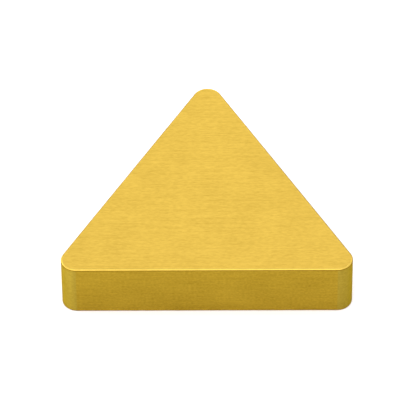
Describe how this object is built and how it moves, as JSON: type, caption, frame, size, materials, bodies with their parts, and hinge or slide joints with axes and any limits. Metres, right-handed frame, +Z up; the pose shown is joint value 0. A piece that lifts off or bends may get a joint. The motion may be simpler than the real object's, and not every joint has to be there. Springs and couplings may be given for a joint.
{
  "type": "carbide insert",
  "caption": "Flat triangular turning insert with rounded noses, upright flanks, honed edges and a gold coat; clamps in a toolholder pocket and cuts at its noses.",
  "frame": {"origin": "centre of the inscribed circle, on the lower face", "axes": "+Z up through the thickness to the upper face, +Y towards one nose, +X along the flank opposite that nose"},
  "size_m": [0.0154, 0.0135, 0.0032],
  "materials": {
    "coated_carbide": "satin"
  },
  "bodies": {
    "root": {"carbide_insert": "coated_carbide"}
  },
  "joints": []
}
